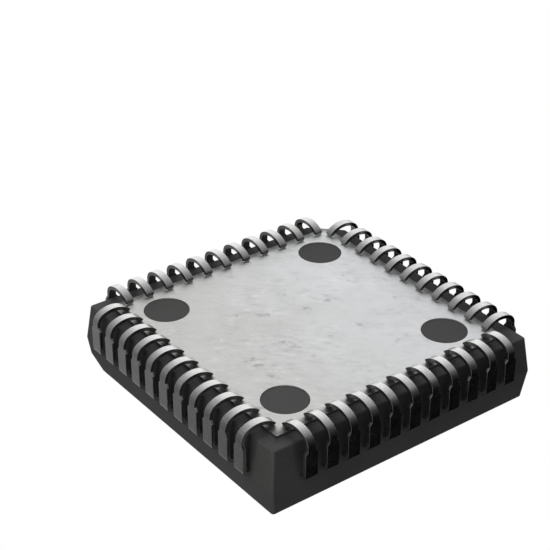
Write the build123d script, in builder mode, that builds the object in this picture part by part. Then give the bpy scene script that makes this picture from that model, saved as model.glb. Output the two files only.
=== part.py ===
from build123d import *
import os
from math import atan2, cos, radians, sin, tan

# 44-lead plastic J-lead chip carrier, millimetres.
# Origin: centre of the plane the lead soles stand on. +Z comes out of the top face.
# The side with lead 1 faces +Y and the leads count anticlockwise seen from above.

os.makedirs("parts", exist_ok=True)

# Moulded body
body_width = 16.59
parting_z = 2.60
rim_z = 0.65
top_z = 4.24
draft = 7.0
corner_radius = 0.15
corner_chamfer = 1.70
top_edge_radius = 0.05
rim_edge_radius = 0.08

# Wide bevel along the lead 1 edge of the top face, and the round lead 1 dimple
bevel_run = 1.13
bevel_drop = 0.75
dimple_radius = 0.74
dimple_from_bevel = 1.60
dimple_depth = 0.12

# Heat spreader: a plate in the underside with a pedestal up to the die pad
spreader_width = 14.50
spreader_face_z = 0.57
spreader_thickness = 0.50
spreader_corner = 0.22
spreader_edge_break = 0.025
pedestal_width = 8.00
pedestal_radius = 0.60
opening_radius = 1.20
opening_spread = 10.26
opening_fill_z = 0.61

# J leads: a strip that leaves the body at the parting line, drops and curls under
leads_per_side = 11
lead_pitch = 1.27
lead_thickness = 0.20
lead_span = 17.54
shoulder_width = 0.72
foot_width = 0.44
shoulder_end_z = 1.15
foot_start_z = 0.80
elbow_radius = 0.35
heel_radius, heel_turn = 0.66, 61.0
sole_radius, sole_turn = 1.44, 62.0
toe_radius, toe_turn = 0.34, 50.0
toe_corner = 0.13

# Lead frame inside the body
shoulder_inner = 7.45
finger_outer = 7.15
finger_tip = 5.05
finger_width = 0.42
finger_pitch = 0.80
pad_width = 9.00
pad_corner_radius = 0.40
pad_downset = 0.25
tie_bar_width = 0.40
tie_bar_knee = 6.70
tie_bar_run = 0.50
tie_bar_end = 9.88

# Die, its adhesive and the bond wires
die_width = 6.00
die_thickness = 0.38
attach_width = 6.20
attach_thickness = 0.03
wire_width = 0.03
wire_start = 2.85
wire_pitch = 0.50
wire_rise = 0.20
wire_landing = 5.30

# Worked out from the driving dimensions
half_body = body_width / 2
draft_slope = tan(radians(draft))
half_top = half_body - draft_slope * (top_z - parting_z)
bevel_y = half_top - bevel_run
bevel_reach = 2 * (draft_slope * bevel_drop + bevel_run)
dimple_y = bevel_y - dimple_from_bevel
frame_z = parting_z - lead_thickness
pad_z = frame_z - pad_downset
die_z = pad_z + lead_thickness + attach_thickness
die_top_z = die_z + die_thickness
lead_reach = lead_span / 2
heel_z = heel_radius * sin(radians(heel_turn)) + sole_radius * (1 - sin(radians(heel_turn)))
sole_end = heel_turn + sole_turn
toe_end = sole_end + toe_turn
toe_reach = (
    lead_reach
    - heel_radius * (1 - cos(radians(heel_turn)))
    - sole_radius * (cos(radians(heel_turn)) - cos(radians(sole_end)))
    - toe_radius * (cos(radians(sole_end)) - cos(radians(toe_end)))
)
toe_z = (
    heel_z
    - heel_radius * sin(radians(heel_turn))
    - sole_radius * (sin(radians(sole_end)) - sin(radians(heel_turn)))
    - toe_radius * (sin(radians(toe_end)) - sin(radians(sole_end)))
)
toe_cut_depth = 3 * lead_thickness
tie_bar_shift = lead_thickness * tan(atan2(pad_downset, tie_bar_run) / 2)

sides = {"north": 90, "west": 180, "south": 270, "east": 0}


def outward(angle):
    return Vector(cos(radians(angle)), sin(radians(angle)), 0)


def side_section(angle, along):
    """Plane across one side of the package: X points outward, Y up, at a distance along the side."""
    tangent = Vector(-sin(radians(angle)), cos(radians(angle)), 0)
    return Plane(origin=tangent * along, x_dir=outward(angle), z_dir=-tangent)


def side_front(angle):
    """Plane through the centre facing one side: X runs along the side, Y up."""
    tangent = Vector(-sin(radians(angle)), cos(radians(angle)), 0)
    return Plane(origin=(0, 0, 0), x_dir=tangent, z_dir=outward(angle))


def side_plan(angle, height):
    """Level plane: X points outward from one side, Y runs along it."""
    return Plane(origin=(0, 0, height), x_dir=outward(angle), z_dir=(0, 0, 1))


def j_path(inset):
    """One face of the bent strip, from inside the body to the toe, inset from the outer face.

    The sole is two arcs of one circle, so that an edge of it lies in the seating plane.
    """
    start = Line((shoulder_inner, parting_z - inset), (lead_reach - elbow_radius, parting_z - inset))
    elbow = JernArc(start @ 1, start % 1, elbow_radius - inset, -90)
    drop = Line(elbow @ 1, (lead_reach - inset, heel_z))
    heel = JernArc(drop @ 1, drop % 1, heel_radius - inset, -heel_turn)
    sole_down = JernArc(heel @ 1, heel % 1, sole_radius - inset, heel_turn - 90)
    sole_up = JernArc(sole_down @ 1, sole_down % 1, sole_radius - inset, 90 - sole_end)
    toe = JernArc(sole_up @ 1, sole_up % 1, toe_radius - inset, -toe_turn)
    return start @ 0, toe @ 1


def make_lead(angle, position):
    """One lead of a side. The position counts pitches from the middle of the side."""
    along = position * lead_pitch
    tip_shift = position * (finger_pitch - lead_pitch)
    with BuildPart() as lead:
        with BuildSketch(side_section(angle, along)):
            with BuildLine():
                outer_start, outer_end = j_path(0)
                inner_start, inner_end = j_path(lead_thickness)
                Line(outer_start, inner_start)
                Line(outer_end, inner_end)
            make_face()
        extrude(amount=shoulder_width / 2, both=True)
        # The strip is wide in the shoulder and narrow in the foot
        with BuildSketch(side_front(angle)):
            with BuildLine():
                Polyline(
                    (along - shoulder_width / 2, top_z),
                    (along - shoulder_width / 2, shoulder_end_z),
                    (along - foot_width / 2, foot_start_z),
                    (along - foot_width / 2, -lead_thickness),
                    (along + foot_width / 2, -lead_thickness),
                    (along + foot_width / 2, foot_start_z),
                    (along + shoulder_width / 2, shoulder_end_z),
                    (along + shoulder_width / 2, top_z),
                    close=True,
                )
            make_face()
        extrude(amount=lead_span, mode=Mode.INTERSECT)
        # The two corners of the toe are cut off
        with BuildSketch(side_front(angle).offset(toe_reach - lead_thickness)):
            for hand in (-1, 1):
                with BuildLine():
                    Polyline(
                        (along + hand * foot_width / 2, toe_z - toe_corner),
                        (along + hand * foot_width / 2, toe_z + lead_thickness),
                        (along + hand * (foot_width / 2 - toe_corner - lead_thickness), toe_z + lead_thickness),
                        close=True,
                    )
                make_face()
        extrude(amount=toe_cut_depth, mode=Mode.SUBTRACT)
        # Bond finger, leaning towards the die pad
        with BuildSketch(side_plan(angle, frame_z)):
            with BuildLine():
                Polyline(
                    (shoulder_inner, along - shoulder_width / 2),
                    (finger_outer, along - finger_width / 2),
                    (finger_tip, along + tip_shift - finger_width / 2),
                    (finger_tip, along + tip_shift + finger_width / 2),
                    (finger_outer, along + finger_width / 2),
                    (shoulder_inner, along + shoulder_width / 2),
                    close=True,
                )
            make_face()
        extrude(amount=lead_thickness)
    return lead.part


# Leads, numbered from the middle of the north side towards the chamfered corner
half_count = leads_per_side // 2
leads = {}
numbered = [("north", k) for k in range(0, half_count + 1)]
for side in ("west", "south", "east"):
    numbered += [(side, k) for k in range(-half_count, half_count + 1)]
numbered += [("north", k) for k in range(-half_count, 0)]
for number, (side, position) in enumerate(numbered, start=1):
    name = f"lead_{number:02d}"
    leads[name] = make_lead(sides[side], position)
    leads[name].label = name
    export_step(leads[name], f"parts/{name}.step")

# Heat spreader with its four openings
with BuildPart() as heat_spreader:
    with BuildSketch(Plane.XY.offset(spreader_face_z)) as spreader_outline:
        Rectangle(spreader_width, spreader_width)
        cut_corner = spreader_outline.vertices().group_by(Axis.X)[0].sort_by(Axis.Y)[-1]
        chamfer(cut_corner, length=spreader_corner)
        with GridLocations(opening_spread, opening_spread, 2, 2):
            Circle(opening_radius, mode=Mode.SUBTRACT)
    extrude(amount=spreader_thickness)
    lower_edges = heat_spreader.faces().sort_by(Axis.Z)[0].outer_wire().edges()
    chamfer(lower_edges, length=spreader_edge_break)
    with BuildSketch(Plane.XY.offset(spreader_face_z + spreader_thickness)):
        RectangleRounded(pedestal_width, pedestal_width, pedestal_radius)
    extrude(amount=pad_z - spreader_face_z - spreader_thickness)
heat_spreader.part.label = "heat_spreader"
export_step(heat_spreader.part, "parts/heat_spreader.step")

# Die pad, set down below the frame, with a tie bar to each corner of the body
with BuildPart() as die_pad:
    with BuildSketch(Plane.XY.offset(pad_z)):
        RectangleRounded(pad_width, pad_width, pad_corner_radius)
    extrude(amount=lead_thickness)
    for corner in (45, 135, 225, 315):
        inner = pad_width / 2
        with BuildSketch(side_section(corner, 0)):
            with BuildLine():
                Polyline(
                    (inner, pad_z),
                    (tie_bar_knee, pad_z),
                    (tie_bar_knee + tie_bar_run, frame_z),
                    (tie_bar_end, frame_z),
                    (tie_bar_end, frame_z + lead_thickness),
                    (tie_bar_knee + tie_bar_run - tie_bar_shift, frame_z + lead_thickness),
                    (tie_bar_knee - tie_bar_shift, pad_z + lead_thickness),
                    (inner, pad_z + lead_thickness),
                    close=True,
                )
            make_face()
        extrude(amount=tie_bar_width / 2, both=True)
die_pad.part.label = "die_pad"
export_step(die_pad.part, "parts/die_pad.step")

# Adhesive and die
with BuildPart() as die_attach:
    with BuildSketch(Plane.XY.offset(pad_z + lead_thickness)):
        Rectangle(attach_width, attach_width)
    extrude(amount=attach_thickness)
die_attach.part.label = "die_attach"
export_step(die_attach.part, "parts/die_attach.step")

with BuildPart() as silicon_die:
    with BuildSketch(Plane.XY.offset(die_z)):
        Rectangle(die_width, die_width)
    extrude(amount=die_thickness)
silicon_die.part.label = "silicon_die"
export_step(silicon_die.part, "parts/silicon_die.step")

# Bond wires, plain square in section: straight up from the die, then across to a bond finger
bond_wires = {}
for side, angle in sides.items():
    tangent = Vector(-sin(radians(angle)), cos(radians(angle)), 0)
    with BuildPart() as wires:
        for position in range(-half_count, half_count + 1):
            on_die = outward(angle) * wire_start + tangent * (position * wire_pitch)
            on_finger = outward(angle) * wire_landing + tangent * (position * finger_pitch)
            start = on_die + Vector(0, 0, die_top_z)
            with BuildLine() as route:
                Polyline(
                    start,
                    start + Vector(0, 0, wire_rise),
                    on_finger + Vector(0, 0, parting_z),
                )
            with BuildSketch(Plane(origin=start, z_dir=(0, 0, 1))):
                Rectangle(wire_width, wire_width)
            sweep(path=route.line, transition=Transition.RIGHT)
        split(bisect_by=Plane.XY.offset(parting_z), keep=Keep.TOP)
    name = f"bond_wires_{side}"
    bond_wires[name] = wires.part
    bond_wires[name].label = name
    export_step(bond_wires[name], f"parts/{name}.step")


def is_square_corner(edge):
    """Whether an edge of one half stands at a corner that isn't chamfered."""
    centre = edge.center()
    return abs(abs(centre.X) - abs(centre.Y)) < corner_radius and edge.bounding_box().size.Z > corner_radius


def drafted_half(height):
    """One half of the moulding, drawn up or down from the parting line, its square corners rounded."""
    with BuildPart() as half:
        with BuildSketch(Plane.XY.offset(parting_z)) as outline:
            Rectangle(body_width, body_width)
            cut_corner = outline.vertices().group_by(Axis.X)[0].sort_by(Axis.Y)[-1]
            chamfer(cut_corner, length=corner_chamfer)
        extrude(amount=height, taper=draft)
        fillet(half.edges().filter_by(is_square_corner), radius=corner_radius)
    return half.part


# Moulded body: both halves draw away from the parting line
with BuildPart() as moulded_body:
    add(drafted_half(top_z - parting_z))
    add(drafted_half(rim_z - parting_z))
    # Bevel along the lead 1 edge
    with BuildSketch(Plane.YZ):
        with BuildLine():
            Polyline(
                (bevel_y, top_z),
                (bevel_y + bevel_reach, top_z - 2 * bevel_drop),
                (bevel_y + bevel_reach, top_z + bevel_drop),
                (bevel_y, top_z + bevel_drop),
                close=True,
            )
        make_face()
    extrude(amount=body_width, both=True, mode=Mode.SUBTRACT)
    top_face = moulded_body.faces().sort_by(Axis.Z)[-1]
    fillet(top_face.edges(), radius=top_edge_radius)
    rim_face = moulded_body.faces().sort_by(Axis.Z)[0]
    fillet(rim_face.edges(), radius=rim_edge_radius)
    # Moulding compound nearly fills the openings of the heat spreader
    with BuildSketch(Plane.XY.offset(opening_fill_z)):
        with GridLocations(opening_spread, opening_spread, 2, 2):
            Circle(opening_radius)
    extrude(amount=rim_z - opening_fill_z)
    # Lead 1 dimple
    with BuildSketch(Plane.XY.offset(top_z)):
        with Locations((0, dimple_y)):
            Circle(dimple_radius)
    extrude(amount=-dimple_depth, taper=draft, mode=Mode.SUBTRACT)
    # The moulding closes round everything inside it
    for insert in (heat_spreader, die_pad, die_attach, silicon_die):
        add(insert.part, mode=Mode.SUBTRACT)
    for insert in (*leads.values(), *bond_wires.values()):
        add(insert, mode=Mode.SUBTRACT)
moulded_body.part.label = "moulded_body"
export_step(moulded_body.part, "parts/moulded_body.step")
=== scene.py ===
"""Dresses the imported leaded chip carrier: detailed meshes, finishes, studio light and camera."""

import logging
import math
from dataclasses import dataclass
from enum import Enum
from typing import Callable, Union

import bmesh
import bpy
from mathutils import Matrix, Vector


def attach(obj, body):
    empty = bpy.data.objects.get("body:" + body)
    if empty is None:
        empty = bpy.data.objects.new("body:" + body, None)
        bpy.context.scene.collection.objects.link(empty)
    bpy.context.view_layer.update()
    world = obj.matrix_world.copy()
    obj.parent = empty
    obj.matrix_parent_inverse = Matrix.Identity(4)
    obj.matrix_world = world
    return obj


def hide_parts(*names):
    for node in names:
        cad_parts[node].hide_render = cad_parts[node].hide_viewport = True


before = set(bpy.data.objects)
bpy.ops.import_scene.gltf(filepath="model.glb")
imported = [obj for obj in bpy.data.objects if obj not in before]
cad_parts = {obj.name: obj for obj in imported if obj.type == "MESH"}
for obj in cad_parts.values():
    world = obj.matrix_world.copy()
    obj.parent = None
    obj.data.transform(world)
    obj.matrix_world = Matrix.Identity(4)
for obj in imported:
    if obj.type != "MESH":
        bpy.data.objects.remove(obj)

LOG = logging.getLogger("chip_carrier")

# Meshes are modelled in millimetres and brought to metres at the end.
MM = 0.001

# Edges that bend less than this are inside a face, and are left out of selections.
CORNER_RAD = math.radians(20)

# How near a level an edge belongs to it, and how near a side an upright edge does.
ON_LEVEL = 0.001
BY_SIDE = 0.1

# Cosines above which a face looks roughly, or exactly, one way.
FACING = 0.9
FACING_EXACTLY = 0.999

# Attribute that is 1 on the faces of a lead that were sheared out of the sheet.
SHEARED = "sheared"

# How far wide faces outweigh narrow ones in the shading of their shared edges.
WIDE_FACE_WEIGHT = 100

WHITE = (1, 1, 1, 1)
DIAGONAL = math.sqrt(0.5)

Number = Union[int, float]
Span = tuple[float, float]
Point = tuple[float, float, float]
Colour = tuple[float, float, float]
Bend = tuple[float, float]
Test = Callable[[Vector], bool]
Term = Union["Val", Number]
Key = Union[int, str]

# The span that holds most of a noise's values.
MOST_NOISE: Span = (0.3, 0.7)


class Side(Enum):
    """The four sides of the package, by the compass angle that each one faces."""

    EAST = 0
    NORTH = 90
    WEST = 180
    SOUTH = 270

    def turn(self) -> Matrix:
        """Turns a mesh modelled on the east side to this side."""
        return Matrix.Rotation(math.radians(self.value), 4, "Z")


class Slot(Enum):
    """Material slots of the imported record."""

    MOULD_COMPOUND = "mould_compound"
    LEAD_TIN = "lead_tin"
    SPREADER_PLATE = "spreader_plate"
    FRAME_COPPER = "frame_copper"
    DIE_ADHESIVE = "die_adhesive"
    SILICON = "silicon"
    BOND_GOLD = "bond_gold"


class Picks(Enum):
    """What a selection in edit mode works on."""

    VERT = "VERT"
    EDGE = "EDGE"
    FACE = "FACE"


class Join(Enum):
    """What a tool does to the mesh that it meets."""

    CUT = "DIFFERENCE"
    ADD = "UNION"


# Materials


class Val:
    """A shader socket that takes part in Python arithmetic."""

    def __init__(self, recipe: "Recipe", socket: bpy.types.NodeSocket) -> None:
        """Wraps one output socket of a recipe's tree."""
        self.recipe = recipe
        self.socket = socket

    def _math(self, operation: str, *values: Term) -> "Val":
        """Adds a Math node of this operation on the values."""
        return self.recipe.node("Math", {"operation": operation}, dict(enumerate(values)))

    def __add__(self, other: Term) -> "Val":
        """Sum."""
        return self._math("ADD", self, other)

    __radd__ = __add__

    def __mul__(self, other: Term) -> "Val":
        """Product."""
        return self._math("MULTIPLY", self, other)

    __rmul__ = __mul__

    def __sub__(self, other: Term) -> "Val":
        """Difference."""
        return self._math("SUBTRACT", self, other)

    def __rsub__(self, other: Number) -> "Val":
        """Difference from a number."""
        return self._math("SUBTRACT", other, self)

    def __pow__(self, other: Number) -> "Val":
        """Power."""
        return self._math("POWER", self, other)

    def absolute(self) -> "Val":
        """Size without its sign."""
        return self._math("ABSOLUTE", self)

    def clamped(self) -> "Val":
        """Kept between 0 and 1."""
        return self.recipe.node("Clamp", {}, {"Value": self})

    def larger(self, other: Term) -> "Val":
        """The larger of two."""
        return self._math("MAXIMUM", self, other)

    def above(self, low: Number, high: Number) -> "Val":
        """Ramps from 0 at low to 1 at high, smoothly."""
        sockets = {"Value": self, "From Min": low, "From Max": high}
        return self.recipe.node("MapRange", {"interpolation_type": "SMOOTHSTEP"}, sockets)

    def swing(self, size: Number) -> "Val":
        """A noise's swing to both sides of its middle, at this size."""
        return (self - 0.5) * size

    def mixed(self, other: "Val", share: float) -> "Val":
        """Gives another value a share in this one."""
        return self * (1 - share) + other * share


Socket = Union[Val, Number, tuple[float, ...]]


class Recipe:
    """The nodes of one material or of the world."""

    def __init__(self, tree: bpy.types.NodeTree) -> None:
        """Starts with an empty tree."""
        self.tree = tree
        self.tree.nodes.clear()

    def node(
        self,
        kind: str,
        settings: dict[str, object],
        values: dict[Key, Socket],
        out: Union[Key, None] = 0,
    ) -> Union[Val, None]:
        """Adds one node.

        Args:
            kind: The node's type without its ShaderNode prefix.
            settings: Properties, set before the sockets.
            values: Socket names or numbers, with a value or a Val for each.
            out: The output socket that is handed back, or None for an output node.

        Returns:
            The chosen output.
        """
        made = self.tree.nodes.new("ShaderNode" + kind)
        for key, setting in settings.items():
            setattr(made, key, setting)
        for key, value in values.items():
            if isinstance(value, Val):
                self.tree.links.new(value.socket, made.inputs[key])
            else:
                made.inputs[key].default_value = value
        return Val(self, made.outputs[out]) if out is not None else None

    def place(self, stretch: Point = (1, 1, 1), turn: Point = (0, 0, 0)) -> Val:
        """Reads object coordinates in millimetres.

        Args:
            stretch: How many times finer the pattern gets along each axis.
            turn: Its turn before that, in radians.

        Returns:
            The coordinates.
        """
        coords = self.node("TexCoord", {}, {}, "Object")
        turned = self.node("Mapping", {}, {"Vector": coords, "Rotation": turn})
        return self.node("Mapping", {}, {"Vector": turned, "Scale": tuple(s / MM for s in stretch)})

    def split(self, place: Val) -> tuple[Val, ...]:
        """Takes a vector apart into x, y and z."""
        return tuple(self.node("SeparateXYZ", {}, {0: place}, axis) for axis in "XYZ")

    def noise(self, place: Val, scale: Number, detail: Number = 2, rough: Number = 0.5) -> Val:
        """Soft noise between 0 and 1, with a scale per millimetre."""
        sockets = {"Vector": place, "Scale": scale, "Detail": detail, "Roughness": rough}
        return self.node("TexNoise", {}, sockets, "Fac")

    def grains(self, place: Val, scale: Number) -> Val:
        """Distance to the nearest grain of a random packing."""
        return self.node("TexVoronoi", {}, {"Vector": place, "Scale": scale}, "Distance")

    def blend(self, factor: Val, low: Union[Val, Colour], high: Union[Val, Colour]) -> Val:
        """Mixes two colours by a factor."""
        low, high = (colour if isinstance(colour, Val) else (*colour, 1) for colour in (low, high))
        return self.node("Mix", {"data_type": "RGBA"}, {0: factor, 6: low, 7: high}, 2)

    def bump(self, height: Val, depth_mm: Number) -> Val:
        """A bump whose height of 1 stands for this depth."""
        return self.node("Bump", {}, {"Height": height, "Distance": depth_mm * MM}, "Normal")


class Surface(Recipe):
    """One material with its shader."""

    def __init__(self, name: str) -> None:
        """Starts a material with its shader and output.

        Args:
            name: Name of the material.
        """
        self.material = bpy.data.materials.new(name)
        self.material.use_nodes = True
        super().__init__(self.material.node_tree)
        self.shader = self.tree.nodes.new("ShaderNodeBsdfPrincipled")
        self.output = self.tree.nodes.new("ShaderNodeOutputMaterial")
        self.tree.links.new(self.shader.outputs["BSDF"], self.output.inputs["Surface"])

    def feed(self, **sockets: Socket) -> bpy.types.Material:
        """Links or sets the shader's sockets.

        Args:
            sockets: The sockets' names, with underscores for spaces, and what each gets.

        Returns:
            The material.
        """
        for key, value in sockets.items():
            name = key.replace("_", " ")
            if isinstance(value, Val):
                self.tree.links.new(value.socket, self.shader.inputs[name])
            else:
                self.shader.inputs[name].default_value = value
        return self.material


@dataclass(frozen=True)
class MouldingFinish:
    """Matte black moulding compound with fine silica filler.

    It is coarse on the bevel and smooth in the dimple, and has painted shade between the leads.
    """

    dark: Colour = (0.040, 0.040, 0.039)
    light: Colour = (0.058, 0.058, 0.057)
    dimple: Colour = (0.012, 0.012, 0.012)
    dimple_y_mm: float = 5.364
    dimple_mm: Span = (0.74, 0.72)
    dimple_top_mm: Span = (4.235, 4.215)
    dimple_gloss: float = 0.25
    dimple_smooth: float = 0.8
    bevel_mm: Span = (6.95, 6.98)
    bevel_foot_mm: Span = (3.45, 3.48)
    bevel_coarse: float = 3.0
    # Where the painted shade between the leads lies, and how deep it is.
    row_reach_mm: Span = (7.20, 7.30)
    row_end_mm: Span = (7.00, 6.75)
    row_top_mm: Span = (2.20, 1.20)
    row_shade: float = 0.55
    grain_per_mm: float = 17.0
    grain_span: Span = (0.25, 0.75)
    grain_depth_mm: float = 0.006
    grain_rough: float = 0.12
    speck_per_mm: float = 11.9
    speck_share: float = 0.4
    cloud_per_mm: float = 0.35
    cloud_share: float = 0.35
    cloud_rough: float = 0.10
    roughness: float = 0.62

    def _zones(self, recipe: Recipe) -> tuple[Val, Val, Val]:
        """Tells the places that differ from the rest.

        Args:
            recipe: The material's nodes.

        Returns:
            Masks of the dimple, the bevel and the painted shade in the rows between the leads.
        """
        x, y, z = recipe.split(recipe.place())
        far, wide = x.absolute(), y.absolute()
        reach = far.larger(wide)
        painted_row_shade = reach.above(*self.row_reach_mm) * (far + wide - reach).above(*self.row_end_mm)
        north = y - self.dimple_y_mm
        distance = (x * x + north * north) ** 0.5
        in_dimple = distance.above(*self.dimple_mm) * z.above(*self.dimple_top_mm)
        on_bevel = y.above(*self.bevel_mm) * z.above(*self.bevel_foot_mm)
        return in_dimple, on_bevel, painted_row_shade * z.above(*self.row_top_mm)

    def build(self) -> bpy.types.Material:
        """Makes the compound.

        Returns:
            The material.
        """
        recipe = Surface("moulding_compound")
        place = recipe.place()
        in_dimple, on_bevel, painted_row_shade = self._zones(recipe)
        grain = recipe.noise(place, self.grain_per_mm, detail=3, rough=0.6)
        specks = recipe.grains(place, self.speck_per_mm)
        cloud = recipe.noise(place, self.cloud_per_mm, detail=3)
        shade = grain.above(*self.grain_span).mixed(cloud.above(*MOST_NOISE), self.cloud_share)
        coarse = shade + grain.swing(self.bevel_coarse) * on_bevel
        matt = recipe.blend(coarse.clamped(), self.dark, self.light)
        # Painted shade: the rows between the leads are darkened towards the dimple's dark colour.
        shaded = recipe.blend(painted_row_shade * self.row_shade, matt, self.dimple)
        rough = self.roughness + grain.swing(self.grain_rough) + cloud.swing(self.cloud_rough)
        relief = grain.mixed(specks, self.speck_share) * (1 - in_dimple * self.dimple_smooth)
        return recipe.feed(
            Base_Color=recipe.blend(in_dimple, shaded, self.dimple),
            Roughness=rough - in_dimple * self.dimple_gloss,
            Normal=recipe.bump(relief, self.grain_depth_mm),
        )


@dataclass(frozen=True)
class LeadFinish:
    """Satin tin plate with fine pits, duller where the strip was sheared, and darker still at its cut
    toe, which is painted shade.
    """

    dark: Colour = (0.58, 0.58, 0.576)
    light: Colour = (0.80, 0.80, 0.796)
    sheared: Colour = (0.46, 0.45, 0.44)
    sheared_share: float = 0.8
    # The toe's painted shade: its dark colour, and where on the sheared faces it lies.
    toe: Colour = (0.20, 0.20, 0.195)
    toe_shade_reach_mm: Span = (7.30, 7.05)
    toe_shade_top_mm: Span = (0.62, 0.558)
    toe_rough: float = 0.2
    grain_per_mm: float = 12.0
    grain_depth_mm: float = 0.0018
    grain_rough: float = 0.12
    pit_share: float = 0.5
    cloud_per_mm: float = 1.6
    cloud_share: float = 0.3
    cloud_rough: float = 0.14
    roughness: float = 0.24

    def build(self) -> bpy.types.Material:
        """Makes the tin plate.

        Returns:
            The material.
        """
        recipe = Surface("tin_plate")
        place = recipe.place()
        x, y, z = recipe.split(place)
        reach = x.absolute().larger(y.absolute())
        cut = recipe.node("Attribute", {"attribute_name": SHEARED}, {}, "Fac")
        # Painted shade on the sheared faces at the toe's end.
        toe = cut * reach.above(*self.toe_shade_reach_mm) * z.above(*self.toe_shade_top_mm)
        grain = recipe.noise(place, self.grain_per_mm, detail=3, rough=0.65)
        pits = recipe.grains(place, self.grain_per_mm)
        cloud = recipe.noise(place, self.cloud_per_mm)
        shade = grain.above(*MOST_NOISE).mixed(cloud.above(*MOST_NOISE), self.cloud_share)
        plated = recipe.blend(shade, self.dark, self.light)
        duller = recipe.blend(cut * self.sheared_share, plated, self.sheared)
        rough = self.roughness + toe * self.toe_rough + cloud.swing(self.cloud_rough)
        return recipe.feed(
            Base_Color=recipe.blend(toe, duller, self.toe),
            Metallic=1.0,
            Roughness=rough + grain.swing(self.grain_rough),
            Normal=recipe.bump(grain.mixed(pits, self.pit_share), self.grain_depth_mm),
        )


@dataclass(frozen=True)
class SpreaderFinish:
    """Frosted plate: warm to cool across it, with painted shade at its border.

    It is mottled, with faint spots, patches of dashes and fine grain.
    """

    warm: Colour = (0.715, 0.708, 0.688)
    cool: Colour = (0.860, 0.872, 0.890)
    across_mm: Span = (7.0, -5.0)
    across_lean: float = 0.2
    dull: Colour = (0.50, 0.50, 0.50)
    fleck: Colour = (0.99, 0.99, 0.99)
    fleck_span: Span = (0.45, 0.75)
    fleck_share: float = 0.3
    # Painted shade at the plate's border, beside the leads: its colour, where it lies and its share.
    border: Colour = (0.16, 0.16, 0.165)
    border_mm: Span = (6.65, 7.15)
    border_share: float = 0.8
    pattern_turn: Point = (0, 0, math.radians(-45))
    cloud_per_mm: float = 0.25
    cloud_share: float = 0.25
    mottle_per_mm: float = 1.1
    mottle_stretch: Point = (0.7, 1, 1)
    mottle_span: Span = (0.42, 0.70)
    mottle_share: float = 0.18
    spot: Colour = (0.34, 0.34, 0.35)
    spot_per_mm: float = 1.15
    spot_stretch: Point = (0.8, 1.1, 1)
    spot_span: Span = (0.64, 0.72)
    spot_share: float = 0.24
    spot_rough: float = 0.1
    spot_relief: float = 0.4
    dash_per_mm: float = 3.2
    dash_stretch: Point = (0.45, 1, 1)
    dull_dash_span: Span = (0.52, 0.68)
    dull_dash_share: float = 0.34
    pale_dash_span: Span = (0.46, 0.30)
    pale_dash_share: float = 0.42
    patch_per_mm: float = 0.35
    patch_span: Span = (0.45, 0.62)
    patch_least: float = 0.3
    grain_per_mm: float = 8.0
    grain_depth_mm: float = 0.002
    grain_rough: float = 0.12
    grain_relief: float = 0.5
    roughness: float = 0.50

    def _across(self, recipe: Recipe, x: Val, y: Val) -> Val:
        """Lays warm to cool tones across the plate, with soft clouds.

        Args:
            recipe: The material's nodes.
            x: How far east each place is.
            y: How far north it is.

        Returns:
            The colour.
        """
        cloud = recipe.noise(recipe.place(), self.cloud_per_mm, detail=3).above(*MOST_NOISE)
        tone = (x + y * self.across_lean).above(*self.across_mm)
        return recipe.blend(tone.mixed(cloud, self.cloud_share), self.warm, self.cool)

    def _mottled(self, recipe: Recipe, base: Val) -> tuple[Val, Val]:
        """Adds mottling, dashes in patches and faint spots.

        Args:
            recipe: The material's nodes.
            base: The plate's tone.

        Returns:
            The mottled colour, and how dull each place is.
        """
        mottle_place, dash_place, spot_place = (
            recipe.place(stretch, self.pattern_turn)
            for stretch in (self.mottle_stretch, self.dash_stretch, self.spot_stretch)
        )
        mottle = recipe.noise(mottle_place, self.mottle_per_mm, detail=4, rough=0.6)
        dash = recipe.noise(dash_place, self.dash_per_mm, detail=3, rough=0.6)
        patch = recipe.noise(recipe.place(), self.patch_per_mm).above(*self.patch_span)
        patches = self.patch_least + patch * (1 - self.patch_least)
        spots = recipe.noise(spot_place, self.spot_per_mm, detail=3, rough=0.55).above(*self.spot_span)
        soft = recipe.blend(mottle.above(*self.mottle_span) * self.mottle_share, base, self.dull)
        dull_dash = dash.above(*self.dull_dash_span) * patches * self.dull_dash_share
        pale_dash = dash.above(*self.pale_dash_span) * patches * self.pale_dash_share
        dashed = recipe.blend(pale_dash, recipe.blend(dull_dash, soft, self.dull), self.fleck)
        return recipe.blend(spots * self.spot_share, dashed, self.spot), spots

    def build(self) -> bpy.types.Material:
        """Makes the plate's frosted metal.

        Returns:
            The material.
        """
        recipe = Surface("frosted_plate")
        x, y, _ = recipe.split(recipe.place())
        mottled, spots = self._mottled(recipe, self._across(recipe, x, y))
        grain = recipe.noise(recipe.place(), self.grain_per_mm, detail=3, rough=0.6)
        reach = x.absolute().larger(y.absolute())
        # Painted shade: the plate is darkened towards its border, beside the leads.
        with_painted_border_shade = recipe.blend(reach.above(*self.border_mm) * self.border_share, mottled, self.border)
        flecks = grain.above(*self.fleck_span) * self.fleck_share
        relief = grain * self.grain_relief + (1 - spots) * self.spot_relief
        return recipe.feed(
            Base_Color=recipe.blend(flecks, with_painted_border_shade, self.fleck),
            Metallic=1.0,
            Roughness=self.roughness + grain.swing(self.grain_rough) + spots * self.spot_rough,
            Normal=recipe.bump(relief, self.grain_depth_mm),
        )


@dataclass(frozen=True)
class InnerFinish:
    """A plain hidden finish: two tones, fine grain and a bump."""

    name: str
    dark: Colour
    light: Colour
    metallic: float
    roughness: float
    grain_per_mm: float = 12.0
    grain_depth_mm: float = 0.002
    grain_rough: float = 0.15

    def build(self) -> bpy.types.Material:
        """Makes the finish.

        Returns:
            The material.
        """
        recipe = Surface(self.name)
        grain = recipe.noise(recipe.place(), self.grain_per_mm, detail=3)
        return recipe.feed(
            Base_Color=recipe.blend(grain.above(*MOST_NOISE), self.dark, self.light),
            Metallic=self.metallic,
            Roughness=self.roughness + grain.swing(self.grain_rough),
            Normal=recipe.bump(grain, self.grain_depth_mm),
        )


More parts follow.
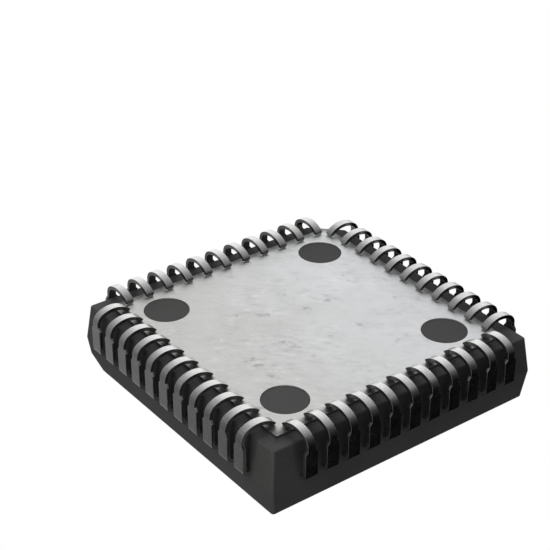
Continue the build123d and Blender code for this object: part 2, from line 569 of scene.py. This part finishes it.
INNER_FINISHES: dict[Slot, InnerFinish] = {
    Slot.FRAME_COPPER: InnerFinish("frame_copper", (0.55, 0.30, 0.19), (0.74, 0.45, 0.30), 1.0, 0.34),
    Slot.DIE_ADHESIVE: InnerFinish("die_adhesive", (0.40, 0.40, 0.38), (0.52, 0.52, 0.50), 0.0, 0.55),
    Slot.SILICON: InnerFinish("silicon", (0.20, 0.21, 0.25), (0.27, 0.28, 0.32), 1.0, 0.12),
    Slot.BOND_GOLD: InnerFinish("bond_gold", (0.78, 0.55, 0.18), (0.88, 0.66, 0.26), 1.0, 0.22),
}

# Slots of the CAD nodes that stay as they are, in the order of their pockets.
SEALED_SLOTS: dict[str, Slot] = {
    "die_pad": Slot.FRAME_COPPER,
    "die_attach": Slot.DIE_ADHESIVE,
    "silicon_die": Slot.SILICON,
    **{f"bond_wires_{side}": Slot.BOND_GOLD for side in ("north", "west", "south", "east")},
}


# Modelling


@dataclass
class Bench:
    """A mesh that is being modelled with operators, in millimetres."""

    part: bpy.types.Object

    @classmethod
    def start(
        cls, name: str, add: Callable[..., object], stretch: Point = (1, 1, 1), **sizes: object
    ) -> "Bench":
        """Adds a primitive at its size and place.

        Args:
            name: Name of the piece.
            add: The operator that adds the primitive.
            stretch: Scale of the primitive along each axis.
            sizes: What the operator takes.

        Returns:
            The bench with the primitive's place in its mesh.
        """
        bpy.ops.object.select_all(action="DESELECT")
        add(**sizes)
        part = bpy.context.active_object
        part.scale = stretch
        bpy.ops.object.transform_apply(location=True, rotation=True, scale=True)
        part.name = part.data.name = name
        return cls(part)

    def copy(self, name: str) -> "Bench":
        """Copies the piece with a mesh of its own.

        Args:
            name: Name of the copy.

        Returns:
            The copy's bench.
        """
        part = self.part.copy()
        part.data = self.part.data.copy()
        part.name = part.data.name = name
        bpy.context.scene.collection.objects.link(part)
        return Bench(part)

    def _activate(self) -> None:
        """Makes the piece the only one that is selected, and the active one."""
        bpy.ops.object.select_all(action="DESELECT")
        self.part.select_set(True)
        bpy.context.view_layer.objects.active = self.part

    def enter(self) -> None:
        """Opens the mesh in edit mode with nothing selected."""
        self._activate()
        bpy.ops.object.mode_set(mode="EDIT")
        bpy.ops.mesh.select_all(action="DESELECT")

    def leave(self) -> None:
        """Goes back to object mode."""
        bpy.ops.object.mode_set(mode="OBJECT")

    def pick(self, kind: Picks, wanted: Test, facing: Test = lambda n: True) -> None:
        """Selects by place and direction, without the edges inside a face.

        Args:
            kind: Vertices, edges or faces.
            wanted: A test on the middle of each element.
            facing: A test on a face's normal, for faces alone.
        """
        bpy.ops.mesh.select_mode(type=kind.value)
        bpy.ops.mesh.select_all(action="DESELECT")
        mesh = bmesh.from_edit_mesh(self.part.data)
        mesh.normal_update()
        for item in {Picks.VERT: mesh.verts, Picks.EDGE: mesh.edges, Picks.FACE: mesh.faces}[kind]:
            corners = [item] if kind is Picks.VERT else item.verts
            middle = sum((corner.co for corner in corners), Vector()) / len(corners)
            is_inside = kind is Picks.EDGE and item.calc_face_angle(0) <= CORNER_RAD
            is_turned = kind is Picks.FACE and not facing(item.normal)
            if wanted(middle) and not is_inside and not is_turned:
                item.select_set(True)
        mesh.select_flush_mode()
        bmesh.update_edit_mesh(self.part.data)

    def bevel(self, wanted: Test, offset: float, steps: int = 1) -> None:
        """Bevels or rounds some edges.

        Args:
            wanted: A test on the middle of each edge.
            offset: How far the bevel reaches.
            steps: How many facets it has.
        """
        self.enter()
        self.pick(Picks.EDGE, wanted)
        bpy.ops.mesh.bevel(offset=offset, segments=steps)
        self.leave()

    def modify(self, kind: str, **settings: object) -> None:
        """Adds a modifier and applies it.

        Args:
            kind: The modifier's type.
            settings: Its properties.
        """
        modifier = self.part.modifiers.new(kind.lower(), kind)
        for key, value in settings.items():
            setattr(modifier, key, value)
        self._activate()
        bpy.ops.object.modifier_apply(modifier=modifier.name)

    def carve(self, tool: "Bench", join: Join = Join.CUT) -> None:
        """Cuts the tool out of this mesh or joins it on, and throws the tool away."""
        self.modify("BOOLEAN", operation=join.value, object=tool.part, solver="EXACT")
        bpy.data.objects.remove(tool.part)

    def finish(self, material: bpy.types.Material, smooth_deg: float) -> bpy.types.Object:
        """Brings the mesh to metres with outward faces and its finish.

        Args:
            material: The finish of the whole piece.
            smooth_deg: Edges that bend less than this are shaded smooth.

        Returns:
            The finished object at the origin.
        """
        self.enter()
        bpy.ops.mesh.select_all(action="SELECT")
        bpy.ops.mesh.normals_make_consistent(inside=False)
        self.leave()
        self.part.data.transform(Matrix.Scale(MM, 4))
        bpy.ops.object.shade_smooth_by_angle(angle=math.radians(smooth_deg))
        self.modify("WEIGHTED_NORMAL", weight=WIDE_FACE_WEIGHT, keep_sharp=True)
        self.part.data.materials.clear()
        self.part.data.materials.append(material)
        return self.part


def slab(name: str, middle: Point, size: Point) -> Bench:
    """Starts with a box of this size."""
    return Bench.start(name, bpy.ops.mesh.primitive_cube_add, size, size=1, location=middle)


def post(name: str, middle: Point, radius: float, height: float, sides: int = 96) -> Bench:
    """Starts with an upright cylinder."""
    add = bpy.ops.mesh.primitive_cylinder_add
    return Bench.start(name, add, vertices=sides, radius=radius, depth=height, location=middle)


def is_north_west(c: Vector, width: float) -> bool:
    """Tells whether an edge with this middle stands at the north-west corner of a square block."""
    return min(-c.x, c.y) > width / 2 - BY_SIDE


def show(piece: bpy.types.Object, slot: Slot, *replaced: str) -> None:
    """Rides a finished piece on the part, in place of CAD nodes.

    Args:
        piece: The finished object.
        slot: Its material slot; it is not used.
        replaced: Names of the nodes that it stands for.
    """
    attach(piece, "root")
    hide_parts(*replaced)
    LOG.info("%s: %d faces, stands for %s", piece.name, len(piece.data.polygons), ", ".join(replaced))


@dataclass(frozen=True)
class Openings:
    """The four round openings of the plate, filled by the moulding."""

    radius: float = 1.20
    spread: float = 10.26

    def posts(self, name: str, z: float, height: float, gap: float = 0.0) -> list[Bench]:
        """Stands a cylinder in each opening.

        Args:
            name: Name of the cylinders.
            z: Height of their middle.
            height: Their length.
            gap: How much smaller their radius is than the opening's.

        Returns:
            The four cylinders.
        """
        half = self.spread / 2
        radius = self.radius - gap
        return [post(name, (x * half, y * half, z), radius, height) for x in (-1, 1) for y in (-1, 1)]


@dataclass
class Moulding:
    """The moulded body: two drafted halves, a bevel, a cut corner, a dimple and filled openings."""

    width: float = 16.59
    parting_z: float = 2.60
    land: float = 0.02
    rim_z: float = 0.65
    top_z: float = 4.24
    draft_deg: float = 7.0
    corner_radius: float = 0.15
    corner_steps: int = 6
    corner_chamfer: float = 1.70
    bevel_run: float = 1.13
    bevel_drop: float = 0.75
    top_edge_radius: float = 0.05
    rim_edge_radius: float = 0.08
    edge_steps: int = 4
    dimple_radius: float = 0.74
    dimple_from_bevel: float = 1.60
    dimple_depth: float = 0.12
    dimple_floor_radius: float = 0.072
    opening_fill_z: float = 0.61
    opening_gap: float = 0.01
    openings: Openings = Openings()
    smooth_deg: float = 35.0

    def _half(self, bench: Bench, side: int, reach: float) -> None:
        """Draws one half out from the parting land, drafted.

        Args:
            bench: The body.
            side: 1 for the upper half, -1 for the lower one.
            reach: Height of the half.
        """
        bench.enter()
        bench.pick(Picks.FACE, lambda c: True, lambda n: n.z * side > FACING)
        bpy.ops.mesh.inset(thickness=reach * math.tan(math.radians(self.draft_deg)), depth=reach)
        bench.leave()

    def _is_square_corner(self, c: Vector) -> bool:
        """Tells whether an edge with this middle stands at a corner that isn't cut."""
        on_diagonal = abs(abs(c.x) - abs(c.y)) < self.corner_radius / 2
        return on_diagonal and abs(c.x) > self.width / 4 and not c.x < 0 < c.y

    def _bevel(self, bench: Bench) -> float:
        """Cuts the wide bevel along the lead 1 edge.

        Args:
            bench: The body.

        Returns:
            How far north the bevel starts.
        """
        slope = math.tan(math.radians(self.draft_deg))
        start = self.width / 2 - slope * (self.top_z - self.parting_z) - self.bevel_run
        run = self.bevel_run + slope * self.bevel_drop
        normal = Vector((0, self.bevel_drop, run)).normalized()
        foot = (0, start, self.top_z)
        bench.enter()
        bpy.ops.mesh.select_all(action="SELECT")
        bpy.ops.mesh.bisect(plane_co=foot, plane_no=normal, use_fill=True, clear_outer=True)
        bench.leave()
        return start

    def _dimple(self, bevel_start: float) -> Bench:
        """Makes the tool for the round dimple in the top.

        Args:
            bevel_start: How far north the bevel starts.

        Returns:
            The tool.
        """
        middle = (0, bevel_start - self.dimple_from_bevel, self.top_z)
        bench = post("dimple_tool", middle, self.dimple_radius, 2 * self.dimple_depth)
        bench.bevel(lambda c: c.z < self.top_z - ON_LEVEL, self.dimple_floor_radius, self.edge_steps)
        return bench

    def model(self) -> Bench:
        """Models the body without its pockets.

        Returns:
            The body.
        """
        bench = slab("moulded_shell", (0, 0, self.parting_z), (self.width, self.width, self.land))
        bench.bevel(lambda c: is_north_west(c, self.width), self.corner_chamfer)
        self._half(bench, 1, self.top_z - self.parting_z - self.land / 2)
        self._half(bench, -1, self.parting_z - self.rim_z - self.land / 2)
        bench.bevel(self._is_square_corner, self.corner_radius, self.corner_steps)
        bevel_start = self._bevel(bench)
        for z, radius in ((self.top_z, self.top_edge_radius), (self.rim_z, self.rim_edge_radius)):
            bench.bevel(lambda c: abs(c.z - z) < ON_LEVEL, radius, self.edge_steps)
        bench.carve(self._dimple(bevel_start))
        height = 2 * (self.rim_z - self.opening_fill_z)
        for boss in self.openings.posts("boss_tool", self.rim_z, height, self.opening_gap):
            bench.carve(boss, Join.ADD)
        return bench

    def dress(self, bench: Bench) -> None:
        """Gives the body its finish and shows it."""
        body = bench.finish(MouldingFinish().build(), self.smooth_deg)
        show(body, Slot.MOULD_COMPOUND, "moulded_body")


@dataclass
class Spreader:
    """The heat spreader: a plate with four openings and a pedestal."""

    width: float = 14.50
    face_z: float = 0.57
    thickness: float = 0.50
    corner: float = 0.22
    edge_radius: float = 0.025
    edge_steps: int = 3
    pedestal_width: float = 8.0
    pedestal_radius: float = 0.60
    pedestal_steps: int = 8
    pedestal_z: float = 2.15
    openings: Openings = Openings()
    smooth_deg: float = 40.0

    def _pedestal(self) -> Bench:
        """Makes the block that carries the die pad.

        Returns:
            The block.
        """
        foot = self.face_z + self.thickness / 2
        size = (self.pedestal_width, self.pedestal_width, self.pedestal_z - foot)
        bench = slab("pedestal_tool", (0, 0, (foot + self.pedestal_z) / 2), size)
        reach = self.pedestal_width / 2 - BY_SIDE
        bench.bevel(lambda c: min(abs(c.x), abs(c.y)) > reach, self.pedestal_radius, self.pedestal_steps)
        return bench

    def model(self) -> Bench:
        """Models the plate.

        Returns:
            The plate.
        """
        middle = (0, 0, self.face_z + self.thickness / 2)
        bench = slab("spreader_plate", middle, (self.width, self.width, self.thickness))
        bench.bevel(lambda c: is_north_west(c, self.width), self.corner)
        for opening in self.openings.posts("opening_tool", self.face_z, 4 * self.thickness):
            bench.carve(opening)
        bench.carve(self._pedestal(), Join.ADD)
        bench.bevel(lambda c: abs(c.z - self.face_z) < ON_LEVEL, self.edge_radius, self.edge_steps)
        return bench

    def dress(self, bench: Bench) -> None:
        """Gives the plate its finish and shows it."""
        plate = bench.finish(SpreaderFinish().build(), self.smooth_deg)
        show(plate, Slot.SPREADER_PLATE, "heat_spreader")


@dataclass
class Strip:
    """A strip of metal that is being formed.

    Its end face has a place and a heading in degrees, 0 outwards and -90 down.
    """

    bench: Bench
    thickness: float
    place: Vector
    ahead: float = 0.0
    arc_step_deg: float = 7.0

    def _way(self) -> Vector:
        """The direction ahead."""
        heading = math.radians(self.ahead)
        return Vector((math.cos(heading), 0, math.sin(heading)))

    def _pick_end(self) -> None:
        """Selects the end face, which faces exactly ahead."""
        way, near = self._way(), self.thickness / 10
        self.bench.pick(
            Picks.FACE,
            lambda c: (c - self.place).length < near,
            lambda n: n.dot(way) > FACING_EXACTLY,
        )

    def resize(self, width_ratio: float, thick_ratio: float = 1.0) -> None:
        """Makes the end face wider or thicker by ratios.

        Args:
            width_ratio: How wide it gets, against its width now.
            thick_ratio: How thick it gets, against its thickness now.
        """
        self._pick_end()
        value = (thick_ratio, width_ratio, thick_ratio)
        bpy.ops.transform.resize(value=value, center_override=self.place)

    def draw(self, run: float) -> None:
        """Draws the end straight on.

        Args:
            run: How far it goes.
        """
        self._pick_end()
        step = self._way() * run
        bpy.ops.mesh.extrude_region_move(TRANSFORM_OT_translate={"value": step})
        self.place = self.place + step

    def bend(self, radius: float, turn: float, steps: int = 0) -> None:
        """Spins the end through one bend.

        Args:
            radius: Radius of the strip's outer face.
            turn: How far it turns, in degrees.
            steps: How many steps it takes, or 0 for steps of the usual size.
        """
        self._pick_end()
        way = self._way()
        steps = steps or max(2, round(turn / self.arc_step_deg))
        centre = self.place + Vector((way.z, 0, -way.x)) * (radius - self.thickness / 2)
        bpy.ops.mesh.spin(steps=steps, angle=-math.radians(turn), center=centre, axis=(0, 1, 0))
        self.place = centre + Matrix.Rotation(math.radians(turn), 3, "Y") @ (self.place - centre)
        self.ahead -= turn


@dataclass(frozen=True)
class JLead:
    """One lead: a strip that leaves the body, drops and curls under, modelled on the east side.

    Each bend is the radius of the strip's outer face and its turn in degrees.
    """

    pitch: float = 1.27
    thickness: float = 0.20
    reach: float = 8.77
    parting_z: float = 2.60
    shoulder_width: float = 0.72
    foot_width: float = 0.44
    shoulder_end_z: float = 1.08
    foot_start_z: float = 0.88
    elbow: Bend = (0.35, 90.0)
    heel: Bend = (0.66, 61.0)
    sole_down: Bend = (1.44, 29.0)
    sole_up: Bend = (1.44, 37.0)
    toe_start: Bend = (1.44, 6.0)
    toe: Bend = (0.36, 22.0)
    toe_round: float = 0.14
    toe_nose: float = 0.095
    toe_nose_run: float = 0.17
    toe_steps: int = 7
    shoulder_inner: float = 7.45
    finger_outer: float = 7.15
    finger_tip: float = 5.05
    finger_width: float = 0.42
    finger_pitch: float = 0.80
    stamped_edge: float = 0.008
    stamped_steps: int = 2
    sheared_facing: Span = (0.3, 0.7)

    def _toe(self, strip: Strip) -> None:
        """Bends the toe up in ever shorter steps, each ring narrower and thinner, to a round end.

        Args:
            strip: The strip down to its sole.
        """
        count = self.toe_steps
        reached = [self.toe[1] * math.sin(math.pi / 2 * k / count) for k in range(count + 1)]
        steps = [(self.toe_start[0], self.toe_start[1] / count)] * count
        steps += [(self.toe[0], after - before) for before, after in zip(reached, reached[1:])]
        runs = [(radius - self.thickness / 2) * math.radians(turn) for radius, turn in steps]
        width, thick = 1.0, 1.0
        for number, (radius, turn) in enumerate(steps, start=1):
            strip.bend(radius, turn, 1)
            to_end = sum(runs[number:])
            ring_width = self._round_end(to_end, self.toe_round, self.toe_round, self.foot_width)
            ring_thick = self._round_end(to_end, self.toe_nose_run, self.toe_nose, self.thickness)
            strip.resize(ring_width / width, ring_thick / thick)
            width, thick = ring_width, ring_thick

    @staticmethod
    def _round_end(to_end: float, length: float, depth: float, size: float) -> float:
        """Tells what share of its size a rounded end still has.

        Args:
            to_end: How far the tip still is.
            length: How far from the tip the rounding starts.
            depth: How much each of two sides has lost at the tip.
            size: The size before the rounding.

        Returns:
            The share.
        """
        run = min(1.0, max(0.0, 1 - to_end / length))
        return 1 - (1 - math.sqrt(1 - run**2)) * depth * 2 / size

    def _finger(self, bench: Bench, z: float) -> None:
        """Draws the straight bond finger inwards from the shoulder.

        Args:
            bench: The shoulder.
            z: Height of its middle.
        """
        strip = Strip(bench, self.thickness, Vector((self.shoulder_inner, 0, z)), 180.0)
        strip.draw(self.shoulder_inner - self.finger_outer)
        strip.resize(self.finger_width / self.shoulder_width)
        strip.draw(self.finger_outer - self.finger_tip)

    def model(self) -> Bench:
        """Models the lead once, with a straight finger.

        Returns:
            The strip.
        """
        z = self.parting_z - self.thickness / 2
        shoulder_outer = self.reach - self.elbow[0]
        size = (shoulder_outer - self.shoulder_inner, self.shoulder_width, self.thickness)
        bench = slab("lead_pattern", ((self.shoulder_inner + shoulder_outer) / 2, 0, z), size)
        bench.enter()
        self._finger(bench, z)
        strip = Strip(bench, self.thickness, Vector((shoulder_outer, 0, z)))
        strip.bend(*self.elbow)
        strip.draw(strip.place.z - self.shoulder_end_z)
        strip.draw(strip.place.z - self.foot_start_z)
        strip.resize(self.foot_width / self.shoulder_width)
        heel_sine = math.sin(math.radians(self.heel[1]))
        heel_z = self.heel[0] * heel_sine + self.sole_down[0] * (1 - heel_sine)
        strip.draw(strip.place.z - heel_z)
        for bend in (self.heel, self.sole_down, self.sole_up):
            strip.bend(*bend)
        toe_x = strip.place.x
        self._toe(strip)
        bench.pick(Picks.EDGE, lambda c: c.x > toe_x)
        bpy.ops.mesh.bevel(offset=self.stamped_edge, segments=self.stamped_steps)
        bench.leave()
        self._mark_sheared(bench, strip.place)
        return bench

    def _mark_sheared(self, bench: Bench, toe: Vector) -> None:
        """Marks the two sides of the strip with their edges, and the end of its toe.

        Args:
            bench: The strip.
            toe: Where its tip is.
        """
        sideways, upwards = self.sheared_facing
        mesh = bench.part.data
        marks = mesh.attributes.new(SHEARED, "FLOAT", "FACE")
        for face, mark in zip(mesh.polygons, marks.data):
            at_end = (face.center - toe).length < self.thickness / 2 and face.normal.z > upwards
            mark.value = float(abs(face.normal.y) > sideways or at_end)

    def put(self, bench: Bench, side: Side, position: int) -> Bench:
        """Moves a copy to its place, with its finger leaning to the die pad.

        Args:
            bench: The copy.
            side: Its side of the package.
            position: How many pitches it stands from the middle of the side.

        Returns:
            The copy.
        """
        lean = position * (self.finger_pitch - self.pitch)
        length = self.finger_outer - self.finger_tip
        for vertex in bench.part.data.vertices:
            beyond = max(0.0, min(1.0, (self.finger_outer - vertex.co.x) / length))
            is_finger = vertex.co.z > self.parting_z - 2 * self.thickness
            vertex.co.y += position * self.pitch + (lean * beyond if is_finger else 0.0)
        bench.part.data.transform(side.turn())
        return bench


@dataclass
class LeadRow:
    """The 44 leads, numbered anticlockwise from the middle of the north side."""

    per_side: int = 11
    lead: JLead = JLead()
    smooth_deg: float = 20.0

    def order(self) -> list[tuple[Side, int]]:
        """Puts the leads in their order of number.

        Returns:
            Side and position of each lead.
        """
        half = self.per_side // 2
        sides = (Side.NORTH, Side.WEST, Side.SOUTH, Side.EAST)
        places = [(side, k) for side in sides for k in range(-half, half + 1)]
        return places[half:] + places[:half]

    def model(self) -> list[Bench]:
        """Models one lead and copies it to all places.

        Returns:
            The leads.
        """
        pattern = self.lead.model()
        leads = [
            self.lead.put(pattern.copy(f"tin_lead_{number:02d}"), side, position)
            for number, (side, position) in enumerate(self.order(), start=1)
        ]
        bpy.data.objects.remove(pattern.part)
        return leads

    def dress(self, leads: list[Bench]) -> None:
        """Gives the leads their finish and shows them.

        Args:
            leads: The leads in their order of number.
        """
        tin = LeadFinish().build()
        for number, bench in enumerate(leads, start=1):
            show(bench.finish(tin, self.smooth_deg), Slot.LEAD_TIN, f"lead_{number:02d}")


@dataclass
class SealedParts:
    """The CAD nodes that nobody sees, sealed in the moulding."""

    finger_z: float = 2.60
    wire_sink: float = 0.01
    weld_m: float = 1e-7

    def tools(self) -> list[Bench]:
        """Merges copies of the nodes in millimetres, to cut their pockets.

        The wires' feet are sunk a little into the fingers, so that both pockets open into each other.

        Returns:
            The tools.
        """
        benches = []
        for name, slot in SEALED_SLOTS.items():
            bench = Bench(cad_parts[name]).copy("pocket_tool")
            bench.part.parent = None
            bench.enter()
            bpy.ops.mesh.select_all(action="SELECT")
            bpy.ops.mesh.remove_doubles(threshold=self.weld_m)
            bench.leave()
            bench.part.data.transform(Matrix.Scale(1 / MM, 4))
            if slot is Slot.BOND_GOLD:
                bench.enter()
                bench.pick(Picks.VERT, lambda c: abs(c.z - self.finger_z) < self.wire_sink / 2)
                bpy.ops.transform.translate(value=(0, 0, -self.wire_sink))
                bench.leave()
            benches.append(bench)
        return benches

    def dress(self) -> None:
        """Gives each sealed node its finish."""
        made = {slot: finish.build() for slot, finish in INNER_FINISHES.items()}
        for name, slot in SEALED_SLOTS.items():
            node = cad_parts[name]
            node.data.materials.clear()
            node.data.materials.append(made[slot])
            LOG.info("%s: CAD node dressed as %s", name, slot.value)


# Studio


@dataclass(frozen=True)
class Lamp:
    """A square soft lamp that faces the part."""

    name: str
    place: Point
    watts: float
    size: float

    def hang(self) -> None:
        """Hangs the lamp, out of sight of the metal."""
        light = bpy.data.lights.new(self.name, "AREA")
        light.shape = "SQUARE"
        light.size = self.size
        light.energy = self.watts
        lamp = bpy.data.objects.new(self.name, light)
        lamp.location = self.place
        lamp.rotation_euler = (-Vector(self.place)).to_track_quat("-Z", "Y").to_euler()
        lamp.visible_glossy = False
        bpy.context.scene.collection.objects.link(lamp)


@dataclass
class Studio:
    """Floor, lamps and the room that the metal reflects.

    A shade of the room is a direction, the cosine to it at which the shade starts, and its depth.
    """

    floor_size: float = 0.9
    floor_colour: Colour = (0.78, 0.78, 0.78)
    floor_roughness: float = 0.8
    floor_glow: float = 0.25
    world_fill: float = 0.24
    metal_fill: float = 0.06
    room_level: float = 0.462
    room_tilt: Point = (-0.299, 0.442, -0.126)
    room_power: float = 3.4
    room_peak: float = 1.16
    room_shades: tuple[tuple[Point, float, float], ...] = (
        ((0.20, 0.68, -0.70), 0.88, 0.7),
        ((-0.80, 0.55, 0.24), 0.92, 1.75),
    )
    overhead_edge: float = 0.75
    overhead_dark: float = 0.6
    window_edge: float = 0.48
    window_gain: float = 1.6
    lamps: tuple[Lamp, ...] = (
        Lamp("lamp_below", place=(0.040, -0.011, -0.037), watts=0.025, size=0.04),
        Lamp("lamp_above", place=(0.02, -0.03, 0.20), watts=0.28, size=0.16),
    )

    def _floor(self) -> bpy.types.Object:
        """Lays a pale floor under the soles, seen only from above so that the underside stays in view.

        Returns:
            The floor.
        """
        bpy.ops.object.select_all(action="DESELECT")
        bpy.ops.mesh.primitive_plane_add(size=self.floor_size)
        floor = bpy.context.active_object
        floor.name = "floor"
        recipe = Surface("pale_floor")
        recipe.feed(
            Base_Color=(*self.floor_colour, 1),
            Roughness=self.floor_roughness,
            Emission_Color=WHITE,
            Emission_Strength=self.floor_glow,
        )
        behind = recipe.node("NewGeometry", {}, {}, "Backfacing")
        clear = recipe.node("BsdfTransparent", {}, {})
        face = Val(recipe, recipe.shader.outputs["BSDF"])
        mix = recipe.node("MixShader", {}, {0: behind, 1: face, 2: clear})
        recipe.tree.links.new(mix.socket, recipe.output.inputs["Surface"])
        floor.data.materials.append(recipe.material)
        for ray in ("diffuse", "glossy", "transmission", "shadow"):
            setattr(floor, "visible_" + ray, False)
        return floor

    def _room(self, recipe: Recipe) -> Val:
        """Grades the room that the metal reflects.

        It is brightest low in the north-west, dark overhead, shaded at two places beside its
        brightest, and has a soft window to the south-east.

        Args:
            recipe: The world's nodes.

        Returns:
            Its brightness in each direction.
        """
        x, y, z = recipe.split(recipe.node("TexCoord", {}, {}, "Generated"))
        tilt_x, tilt_y, tilt_z = self.room_tilt
        overhead = z.larger(0) * (self.overhead_edge - y).larger(0)
        level = x * tilt_x + y * tilt_y + z * tilt_z + self.room_level - overhead * self.overhead_dark
        for (to_x, to_y, to_z), edge, dark in self.room_shades:
            facing = x * to_x + y * to_y + z * to_z
            level = level - (facing - edge).larger(0) * dark
        window = ((x - y) * DIAGONAL - self.window_edge).clamped() * self.window_gain
        return level.clamped() ** self.room_power * self.room_peak + window

    def _world(self) -> None:
        """White behind the part, a graded room in its reflections and an even fill on its matt faces.

        A reflection that a matt face sees gets a fill of its own, so that metal beside the
        moulding hardly lights it.
        """
        world = bpy.data.worlds.new("studio_world")
        world.use_nodes = True
        bpy.context.scene.world = world
        recipe = Recipe(world.node_tree)
        room = self._room(recipe)
        camera, glossy, clear, depth = (
            recipe.node("LightPath", {}, {}, out)
            for out in ("Is Camera Ray", "Is Glossy Ray", "Is Transmission Ray", "Diffuse Depth")
        )
        seen = camera.larger(clear)
        mirrored = glossy * (1 - depth).clamped()
        plain = (1 - seen - mirrored).clamped()
        fill = self.world_fill - glossy * (self.world_fill - self.metal_fill)
        strength = seen + mirrored * room + plain * fill
        background = recipe.node("Background", {}, {"Color": WHITE, "Strength": strength})
        recipe.node("OutputWorld", {}, {"Surface": background}, None)

    def build(self) -> None:
        """Sets up the studio."""
        self._world()
        floor = self._floor()
        for lamp in self.lamps:
            lamp.hang()
        bpy.context.scene.view_settings.view_transform = "Standard"


@dataclass
class PhotoCamera:
    """The camera at the photograph's viewing angle, below the part and rolled over."""

    place_mm: Point = (40.331, -51.216, -39.862)
    aim_mm: Point = (-3.240, 6.807, 2.150)
    roll_deg: float = 179.949
    lens_mm: float = 96.70
    sensor_mm: float = 36.0
    clip_m: Span = (0.005, 5.0)

    def build(self) -> None:
        """Sets up the camera."""
        data = bpy.data.cameras.new("photo_camera")
        data.sensor_width = self.sensor_mm
        data.lens = self.lens_mm
        data.clip_start, data.clip_end = self.clip_m
        camera = bpy.data.objects.new("photo_camera", data)
        place, aim = Vector(self.place_mm) * MM, Vector(self.aim_mm) * MM
        level = (aim - place).to_track_quat("-Z", "Y").to_matrix()
        rolled = level @ Matrix.Rotation(math.radians(self.roll_deg), 3, "Z")
        camera.matrix_world = Matrix.Translation(place) @ rolled.to_4x4()
        bpy.context.scene.collection.objects.link(camera)
        bpy.context.scene.camera = camera


def main() -> None:
    """Builds and dresses the chip carrier, then its studio."""
    logging.basicConfig(level=logging.INFO, format="%(message)s")
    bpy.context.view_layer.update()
    moulding, spreader, leads, sealed = Moulding(), Spreader(), LeadRow(), SealedParts()
    body = moulding.model()
    plate = spreader.model()
    strips = leads.model()
    slots = (strip.copy("slot_tool") for strip in strips)
    for tool in (plate.copy("pocket_tool"), *sealed.tools(), *slots):
        body.carve(tool)
    moulding.dress(body)
    spreader.dress(plate)
    leads.dress(strips)
    sealed.dress()
    Studio().build()
    PhotoCamera().build()


if __name__ == "__main__":
    main()
